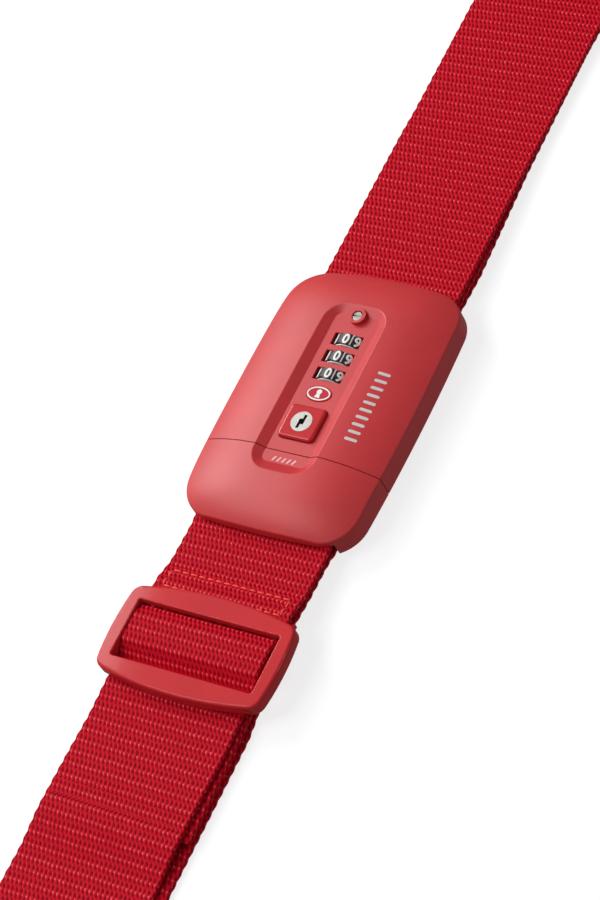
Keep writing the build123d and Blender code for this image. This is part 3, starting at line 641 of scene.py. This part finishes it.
def wrapped(name, shapes, dial, material):
    """Flat shapes bent round a dial as one piece, each with the angle that its middle sits at."""
    low, high = span(dial)
    centre_y, centre_z = (low.y + high.y) / 2, (low.z + high.z) / 2
    radius = (high.z - low.z) / 2
    whole = bmesh.new()
    for shape, angle in shapes:
        cut(shape, 0, 0.3, -2.0, 2.0)
        for vertex in shape.verts:
            around = angle + vertex.co.x / radius
            flat_y = vertex.co.y
            vertex.co = (math.sin(around) * (radius - SINK), centre_y + flat_y,
                         centre_z + math.cos(around) * (radius - SINK))
        axis = Vector((0, 0, centre_z))

        def outwards(place):
            radial = Vector((place.x, 0, place.z)) - axis
            return place + radial.normalized() * (PRINT + SINK)
        thicken(shape, outwards)
        part = bpy.data.meshes.new("part")
        shape.to_mesh(part)
        whole.from_mesh(part)
        shape.free()
    bmesh.ops.scale(whole, vec=(MM, MM, MM), verts=whole.verts)
    mesh = bpy.data.meshes.new(name)
    whole.to_mesh(mesh)
    whole.free()
    return placed(name, mesh, material)


def rectangle(width, height):
    """A flat rectangle as a mesh, centred on the origin."""
    shape = bmesh.new()
    signs = ((-1, -1), (1, -1), (1, 1), (-1, 1))
    shape.faces.new([shape.verts.new((x * width / 2, y * height / 2, 0)) for x, y in signs])
    return shape


STEP = math.tau / 10
LINE = (0.42, 3.7)  # the line between two of the figures
for number, body in enumerate(("dial_one", "dial_two", "dial_three"), start=1):
    dial = f"dial_{number}"
    all_figures = [(digit_mesh(figure), -figure * STEP) for figure in range(10)]
    figures = wrapped(f"{dial}_figures", all_figures, dial, white_print)
    line = wrapped(f"{dial}_line", [(rectangle(*LINE), STEP / 2)], dial, grey_print)
    for piece in (figures, line):
        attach(piece, body)


# ---- The insert's strap bar, with two corners cut off to stay inside the cover's rounded corners ----
BAR_CUT = (3.6, 3.8)  # along X and along Y, in mm
bar_low, bar_high = span("strap_bar_insert")
bar_outline = [(-bar_high.x, bar_high.y), (-bar_high.x, bar_low.y + BAR_CUT[1]),
               (BAR_CUT[0] - bar_high.x, bar_low.y), (bar_high.x - BAR_CUT[0], bar_low.y),
               (bar_high.x, bar_low.y + BAR_CUT[1]), (bar_high.x, bar_high.y)]
bar_shape = bmesh.new()
bar_shape.faces.new([bar_shape.verts.new((x, y, bar_low.z)) for x, y in bar_outline])
thicken(bar_shape, lambda place: place + Vector((0, 0, bar_high.z - bar_low.z)))
bmesh.ops.scale(bar_shape, vec=(MM, MM, MM), verts=bar_shape.verts)
bar_mesh = bpy.data.meshes.new("insert_bar")
bar_shape.to_mesh(bar_mesh)
bar_shape.free()
insert_bar = placed("insert_bar", bar_mesh, plated_steel)
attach(insert_bar, "insert")
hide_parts("strap_bar_insert")


# ---- Prints on the covers ----
def tree_of(node):
    """The surface of a CAD node, for dropping points on to it."""
    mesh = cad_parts[node].data
    return BVHTree.FromPolygons([vertex.co.copy() for vertex in mesh.vertices],
                                [tuple(polygon.vertices) for polygon in mesh.polygons])


def draped(name, polygons, node, material):
    """Flat polygons, in x and y in mm, dropped on to the top of a CAD node as a thin print."""
    surface = tree_of(node)
    shape = bmesh.new()
    for polygon in polygons:
        shape.faces.new([shape.verts.new((x, y, 0)) for x, y in polygon])
    bmesh.ops.remove_doubles(shape, verts=shape.verts, dist=1e-4)
    for axis in (0, 1):
        places = [vertex.co[axis] for vertex in shape.verts]
        cut(shape, axis, 1.0, min(places), max(places))
    for vertex in shape.verts:
        above = Vector((vertex.co.x * MM, vertex.co.y * MM, 1.0))
        hit = surface.ray_cast(above, Vector((0, 0, -1)))[0]
        vertex.co.z = hit.z / MM - SINK
    thicken(shape, lambda place: place + Vector((0, 0, PRINT + SINK)))
    bmesh.ops.scale(shape, vec=(MM, MM, MM), verts=shape.verts)
    mesh = bpy.data.meshes.new(name)
    shape.to_mesh(mesh)
    shape.free()
    return placed(name, mesh, material)


PILL_STEPS = 8  # round each end of a pill


def pill(x, y, length, width, angle=0.0):
    """A bar with round ends, lying at angle to X."""
    outline = []
    reach, radius = (length - width) / 2, width / 2
    for end in (1, -1):
        for step in range(PILL_STEPS + 1):
            turn = math.pi * (step / PILL_STEPS - 0.5) + (0 if end > 0 else math.pi)
            outline.append((end * reach + radius * math.cos(turn), radius * math.sin(turn)))
    c, s = math.cos(angle), math.sin(angle)
    return [(x + a * c - b * s, y + a * s + b * c) for a, b in outline]


def ring(x, y, outer, inner, steps=40):
    """A flat ring between two ellipses, as quads."""
    def point(size, step):
        turn = math.tau * step / steps
        return (x + size[0] * math.cos(turn), y + size[1] * math.sin(turn))
    return [[point(outer, n), point(outer, n + 1), point(inner, n + 1), point(inner, n)]
            for n in range(steps)]


BADGE = middle("emblem_badge")
EYE_RADIUS, EYE_RISE = 0.9, 0.6  # the round part of the keyhole, and how far it is above the badge's middle
SKIRT = ((-0.5, 0.1), (-0.95, -1.5), (0.95, -1.5), (0.5, 0.1))  # and the part below it
badge_rim = ring(BADGE.x, BADGE.y, (4.1, 2.45), (3.65, 2.0))
eye = [(BADGE.x + EYE_RADIUS * math.cos(a), BADGE.y + EYE_RISE + EYE_RADIUS * math.sin(a))
       for a in np.linspace(0, math.tau, 20)[:-1]]
skirt = [(BADGE.x + x, BADGE.y + y) for x, y in SKIRT]
badge_print = draped("badge_print", badge_rim + [eye, skirt], "emblem_badge", white_print)
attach(badge_print, "lock_body")

MARK_X, MARK_LOW_Y, MARK_PITCH = 18.6, KEY_Y - 2.0, 2.7
MARK = (4.2, 1.0)  # length and width
side_bars = [pill(MARK_X, MARK_LOW_Y + n * MARK_PITCH, *MARK) for n in range(10)]
side_marks = draped("side_marks", side_bars, "lock_cover", grey_print)
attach(side_marks, "lock_body")

TICK_X, TICK_Y, TICK_PITCH = -3.6, KEY_Y - 13.6, 1.8
TICK = (1.9, 0.45, 1.1)  # length, width and slant
ticks = [pill(TICK_X + n * TICK_PITCH, TICK_Y, *TICK) for n in range(5)]
low_marks = draped("insert_marks", ticks, "insert_cover", rose_print)
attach(low_marks, "insert")

# ---- Floor, lights and camera ----
FLOOR = 6.0  # half its width, in metres
FLOOR_DROP = 0.0004  # below the strap's underside
floor_mesh = bpy.data.meshes.new("floor")
floor_corners = [(x * FLOOR, y * FLOOR, 0) for x, y in ((-1, -1), (1, -1), (1, 1), (-1, 1))]
floor_mesh.from_pydata(floor_corners, [], [(0, 1, 2, 3)])
floor_material, _, _ = shader("floor_paper", {"Base Color": (0.3, 0.3, 0.3, 1), "Roughness": 0.9,
                                              "Specular IOR Level": 0.1, "Emission Strength": 0.78,
                                              "Emission Color": (1, 1, 1, 1)})
floor = placed("floor", floor_mesh, floor_material)
floor.location.z = -FLOOR_DROP
floor.visible_diffuse = False  # the glow of the floor doesn't wash out the sides of the strap
floor.visible_glossy = False

world = bpy.data.worlds.new("studio")
bpy.context.scene.world = world
world.use_nodes = True
world.node_tree.nodes["Background"].inputs["Color"].default_value = (1.0, 1.0, 1.0, 1.0)
world.node_tree.nodes["Background"].inputs["Strength"].default_value = 0.25
bpy.context.scene.view_settings.view_transform = "Standard"

AIM = Vector((0, KEY_Y * MM, 0.01))


def softbox(name, direction, distance, size, power):
    """A round area light that looks at the buckle from direction."""
    data = bpy.data.lights.new(name, "AREA")
    data.shape = "DISK"
    data.size = size
    data.energy = power
    light = bpy.data.objects.new(name, data)
    bpy.context.scene.collection.objects.link(light)
    light.location = AIM + Vector(direction).normalized() * distance
    light.rotation_euler = (AIM - light.location).to_track_quat("-Z", "Y").to_euler()


softbox("key", (-0.80, 0.22, 0.60), 1.3, 0.76, 13.5)
softbox("front", (-0.45, -0.32, 0.85), 1.6, 0.9, 10.0)
softbox("strip", (0.95, 0.35, 0.55), 1.2, 0.2, 0.8)

# the camera's own axes, what it looks at and from how far
BACK = Vector((0.5223, -0.3845, 0.7612)).normalized()
RIGHT = Vector((0.8311, 0.4294, -0.3534))
RIGHT = (RIGHT - BACK * RIGHT.dot(BACK)).normalized()
UP = BACK.cross(RIGHT)
LOOK_AT = Vector((4.45, KEY_Y - 9.6, 15.8)) * MM
DISTANCE = 0.907
camera_data = bpy.data.cameras.new("camera")
camera_data.lens = 119.9
camera_data.sensor_width = 36.0
camera = bpy.data.objects.new("camera", camera_data)
bpy.context.scene.collection.objects.link(camera)
turned = Matrix((RIGHT, UP, BACK)).transposed().to_4x4()
camera.matrix_world = Matrix.Translation(LOOK_AT + BACK * DISTANCE) @ turned
bpy.context.scene.camera = camera
